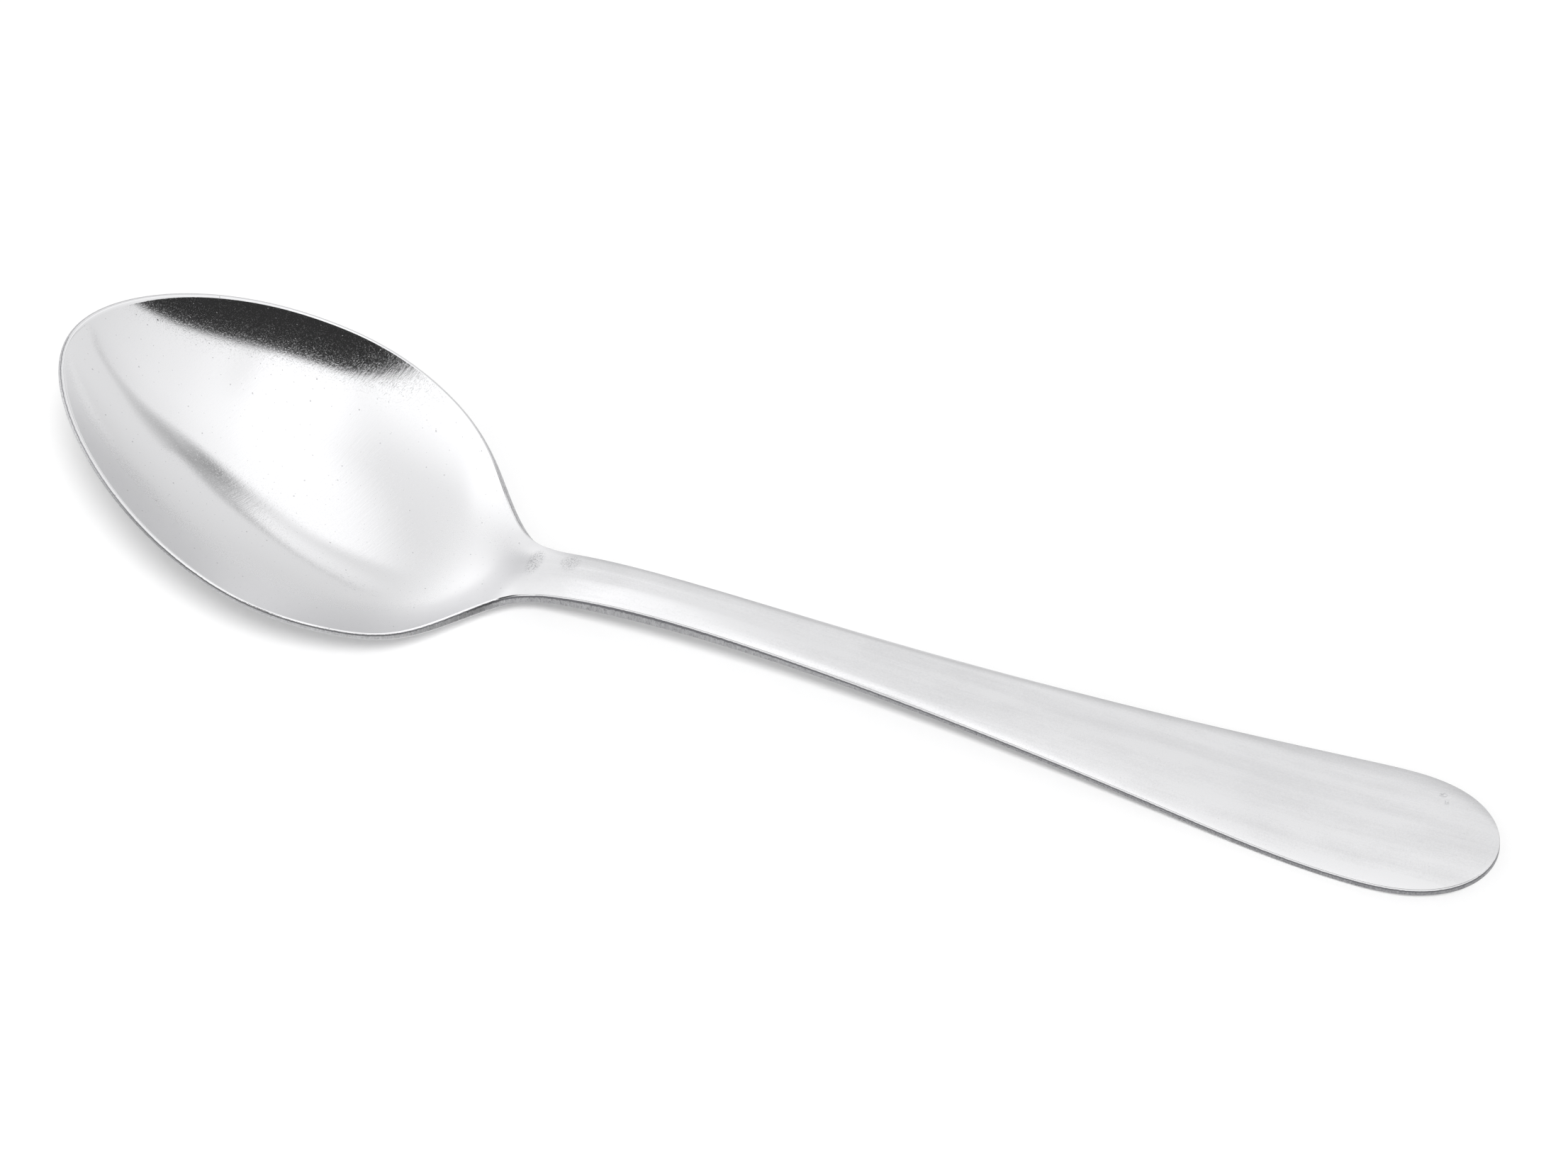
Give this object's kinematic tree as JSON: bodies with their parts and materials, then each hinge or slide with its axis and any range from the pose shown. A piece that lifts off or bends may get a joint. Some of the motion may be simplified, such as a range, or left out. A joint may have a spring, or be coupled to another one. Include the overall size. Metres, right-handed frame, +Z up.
{
  "type": "dessert spoon",
  "caption": "Stamped stainless dessert spoon: an egg-shaped dished bowl tilted up from a slim neck, and a flat handle that flares to a rounded end.",
  "frame": {"origin": "on the table under the middle of the spoon's bounding box, with the spoon lying right way up", "axes": "+X along the handle from bowl to end, +Y across the spoon, +Z up out of the bowl"},
  "size_m": [0.1779, 0.0422, 0.0258],
  "materials": {
    "steel": "bowl polished bright, handle satin with fine lines along its length, edge sheared and lightly broken"
  },
  "bodies": {
    "root": {"spoon": "steel"}
  },
  "joints": []
}
